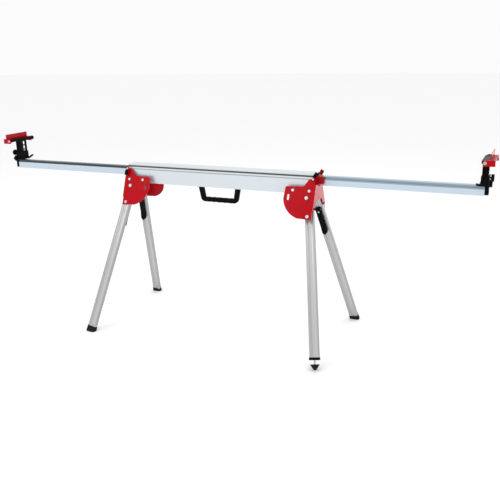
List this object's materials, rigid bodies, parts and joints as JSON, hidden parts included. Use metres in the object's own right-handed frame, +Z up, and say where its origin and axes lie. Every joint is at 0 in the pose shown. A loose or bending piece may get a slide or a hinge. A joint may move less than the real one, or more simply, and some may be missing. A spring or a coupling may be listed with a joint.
{
  "type": "mitre saw stand",
  "caption": "Folding work stand with a grooved aluminium beam, sliding arms with flip-stop work supports, splayed folding legs and one levelling foot.",
  "frame": {"origin": "on the floor, straight below the middle of the beam", "axes": "+X along the beam towards the end with the levelling foot in front, +Z up, -Y towards the front"},
  "size_m": [2.503, 0.664, 0.9394],
  "materials": {
    "aluminium_beam": "satin extruded",
    "aluminium_arm": "satin extruded",
    "red_paint": "gloss powder coat",
    "red_plastic": "satin",
    "bright_zinc": "bright zinc plate",
    "dark_steel": "black oxide",
    "grey_paint": "satin silver grey powder coat",
    "black_plastic": "fine grained",
    "black_paint": "satin powder coat",
    "black_rubber": "matt"
  },
  "bodies": {
    "stand": {"beam": "aluminium_beam", "end_cap_right": "red_plastic", "end_cap_left": "red_plastic", "bracket_right": "red_paint", "bracket_left": "red_paint", "bracket_bolts": "bright_zinc", "bracket_spacers": "bright_zinc", "leg_pivot_bolts": "bright_zinc", "leg_lock_rings": "bright_zinc", "cam_pivot_pins": "bright_zinc", "carry_handle": "black_plastic", "handle_screws": "bright_zinc"},
    "leg_front_left": {"leg_front_left": "grey_paint", "lever_hinge_front_left": "dark_steel", "boot_front_left": "black_rubber"},
    "lever_front_left": {"lock_lever_front_left": "black_plastic"},
    "pin_front_left": {"lock_pin_front_left": "bright_zinc"},
    "cam_front_left": {"cam_lever_front_left": "red_paint", "cam_grip_front_left": "black_plastic"},
    "leg_front_right": {"leg_front_right": "grey_paint", "lever_hinge_front_right": "dark_steel", "level_collar_front_right": "black_plastic"},
    "lever_front_right": {"lock_lever_front_right": "black_plastic"},
    "pin_front_right": {"lock_pin_front_right": "bright_zinc"},
    "level_foot": {"level_stem_front_right": "bright_zinc", "level_pad_front_right": "black_rubber"},
    "cam_front_right": {"cam_lever_front_right": "red_paint", "cam_grip_front_right": "black_plastic"},
    "leg_rear_right": {"leg_rear_right": "grey_paint", "lever_hinge_rear_right": "dark_steel", "boot_rear_right": "black_rubber"},
    "lever_rear_right": {"lock_lever_rear_right": "black_plastic"},
    "pin_rear_right": {"lock_pin_rear_right": "bright_zinc"},
    "cam_rear_right": {"cam_lever_rear_right": "red_paint", "cam_grip_rear_right": "black_plastic"},
    "leg_rear_left": {"leg_rear_left": "grey_paint", "lever_hinge_rear_left": "dark_steel", "boot_rear_left": "black_rubber"},
    "lever_rear_left": {"lock_lever_rear_left": "black_plastic"},
    "pin_rear_left": {"lock_pin_rear_left": "bright_zinc"},
    "cam_rear_left": {"cam_lever_rear_left": "red_paint", "cam_grip_rear_left": "black_plastic"},
    "arm_right": {"arm_right": "aluminium_arm", "support_base_right": "black_plastic"},
    "support_right": {"support_post_right": "black_paint", "support_bar_right": "black_paint", "stop_bolt_right": "bright_zinc"},
    "height_knob_right": {"height_knob_right": "black_plastic"},
    "clamp_right": {"clamp_lever_right": "black_plastic"},
    "stop_right": {"flip_stop_right": "red_paint"},
    "stop_knob_right": {"stop_knob_right": "black_plastic"},
    "arm_left": {"arm_left": "aluminium_arm", "support_base_left": "black_plastic"},
    "support_left": {"support_post_left": "black_paint", "support_bar_left": "black_paint", "stop_bolt_left": "bright_zinc"},
    "height_knob_left": {"height_knob_left": "black_plastic"},
    "clamp_left": {"clamp_lever_left": "black_plastic"},
    "stop_left": {"flip_stop_left": "red_paint"},
    "stop_knob_left": {"stop_knob_left": "black_plastic"}
  },
  "joints": [
    {"name": "fold_front_left", "type": "hinge", "parent": "stand", "child": "leg_front_left", "pos_m": [-0.468, -0.06355, 0.7077], "axis": [0, -0.9353, 0.3539], "range_deg": [0, 99.8]},
    {"name": "lever_front_left", "type": "hinge", "parent": "leg_front_left", "child": "lever_front_left", "pos_m": [-0.48, -0.06008, 0.6321], "axis": [-0.9854, 0.0602, 0.1592], "range_deg": [-15, 0], "stiffness_Nm_per_rad": 0.6},
    {"name": "pin_front_left", "type": "slide", "parent": "leg_front_left", "child": "pin_front_left", "axis": [0, 0.9353, -0.3539], "range_m": [0, 0.006]},
    {"name": "cam_front_left", "type": "hinge", "parent": "stand", "child": "cam_front_left", "pos_m": [-0.491, -0.03709, 0.7875], "axis": [0, 0.9353, -0.3539], "range_deg": [0, 148]},
    {"name": "fold_front_right", "type": "hinge", "parent": "stand", "child": "leg_front_right", "pos_m": [0.468, -0.06627, 0.70878], "axis": [0, 0.9229, -0.3849], "range_deg": [0, 94.8]},
    {"name": "lever_front_right", "type": "hinge", "parent": "leg_front_right", "child": "lever_front_right", "pos_m": [0.48, -0.03948, 0.62234], "axis": [-0.9854, -0.0655, -0.1571], "range_deg": [-15, 0], "stiffness_Nm_per_rad": 0.6},
    {"name": "pin_front_right", "type": "slide", "parent": "leg_front_right", "child": "pin_front_right", "axis": [0, 0.9229, -0.3849], "range_m": [0, 0.006]},
    {"name": "level_screw", "type": "slide", "parent": "leg_front_right", "child": "level_foot", "axis": [0.1702, -0.3793, -0.9095], "range_m": [-0.01, 0.015]},
    {"name": "cam_front_right", "type": "hinge", "parent": "stand", "child": "cam_front_right", "pos_m": [0.491, -0.03717, 0.78766], "axis": [0, -0.9229, 0.3849], "range_deg": [-148, 0]},
    {"name": "fold_rear_right", "type": "hinge", "parent": "stand", "child": "leg_rear_right", "pos_m": [0.468, 0.06355, 0.7077], "axis": [0, 0.9353, 0.3539], "range_deg": [0, 99.8]},
    {"name": "lever_rear_right", "type": "hinge", "parent": "leg_rear_right", "child": "lever_rear_right", "pos_m": [0.48, 0.06008, 0.6321], "axis": [0.9854, -0.0602, 0.1592], "range_deg": [-15, 0], "stiffness_Nm_per_rad": 0.6},
    {"name": "pin_rear_right", "type": "slide", "parent": "leg_rear_right", "child": "pin_rear_right", "axis": [0, -0.9353, -0.3539], "range_m": [0, 0.006]},
    {"name": "cam_rear_right", "type": "hinge", "parent": "stand", "child": "cam_rear_right", "pos_m": [0.491, 0.03709, 0.7875], "axis": [0, -0.9353, -0.3539], "range_deg": [-148, 0]},
    {"name": "fold_rear_left", "type": "hinge", "parent": "stand", "child": "leg_rear_left", "pos_m": [-0.468, 0.06627, 0.70878], "axis": [0, -0.9229, -0.3849], "range_deg": [0, 94.8]},
    {"name": "lever_rear_left", "type": "hinge", "parent": "leg_rear_left", "child": "lever_rear_left", "pos_m": [-0.48, 0.03948, 0.62234], "axis": [0.9854, 0.0655, -0.1571], "range_deg": [-15, 0], "stiffness_Nm_per_rad": 0.6},
    {"name": "pin_rear_left", "type": "slide", "parent": "leg_rear_left", "child": "pin_rear_left", "axis": [0, -0.9229, -0.3849], "range_m": [0, 0.006]},
    {"name": "cam_rear_left", "type": "hinge", "parent": "stand", "child": "cam_rear_left", "pos_m": [-0.491, 0.03717, 0.78766], "axis": [0, 0.9229, 0.3849], "range_deg": [0, 148]},
    {"name": "arm_slide_right", "type": "slide", "parent": "stand", "child": "arm_right", "axis": [-1, 0, 0], "range_m": [0, 0.64]},
    {"name": "height_right", "type": "slide", "parent": "arm_right", "child": "support_right", "axis": [0, 0, 1], "range_m": [0, 0.025]},
    {"name": "height_knob_right", "type": "hinge", "parent": "arm_right", "child": "height_knob_right", "pos_m": [1.226, -0.016, 0.83635], "axis": [1, 0, 0], "continuous": true},
    {"name": "clamp_right", "type": "hinge", "parent": "arm_right", "child": "clamp_right", "pos_m": [1.19, -0.017, 0.80385], "axis": [-1, 0, 0], "range_deg": [0, 60]},
    {"name": "stop_right", "type": "hinge", "parent": "support_right", "child": "stop_right", "pos_m": [1.2125, 0, 0.90485], "axis": [0, 1, 0], "range_deg": [0, 65]},
    {"name": "stop_knob_right", "type": "hinge", "parent": "support_right", "child": "stop_knob_right", "pos_m": [1.2125, 0.08, 0.90485], "axis": [0, 1, 0], "continuous": true},
    {"name": "arm_slide_left", "type": "slide", "parent": "stand", "child": "arm_left", "axis": [1, 0, 0], "range_m": [0, 0.64]},
    {"name": "height_left", "type": "slide", "parent": "arm_left", "child": "support_left", "axis": [0, 0, 1], "range_m": [0, 0.025]},
    {"name": "height_knob_left", "type": "hinge", "parent": "arm_left", "child": "height_knob_left", "pos_m": [-1.226, -0.016, 0.83635], "axis": [-1, 0, 0], "continuous": true},
    {"name": "clamp_left", "type": "hinge", "parent": "arm_left", "child": "clamp_left", "pos_m": [-1.19, 0.017, 0.80385], "axis": [1, 0, 0], "range_deg": [0, 60]},
    {"name": "stop_left", "type": "hinge", "parent": "support_left", "child": "stop_left", "pos_m": [-1.2125, 0, 0.90485], "axis": [0, -1, 0], "range_deg": [0, 65]},
    {"name": "stop_knob_left", "type": "hinge", "parent": "support_left", "child": "stop_knob_left", "pos_m": [-1.2125, 0.08, 0.90485], "axis": [0, 1, 0], "continuous": true}
  ],
  "couplings": [
    {"joint": "pin_front_left", "follows": "lever_front_left", "m_per_rad": -0.014},
    {"joint": "pin_front_right", "follows": "lever_front_right", "m_per_rad": -0.014},
    {"joint": "pin_rear_right", "follows": "lever_rear_right", "m_per_rad": -0.014},
    {"joint": "pin_rear_left", "follows": "lever_rear_left", "m_per_rad": -0.014}
  ]
}
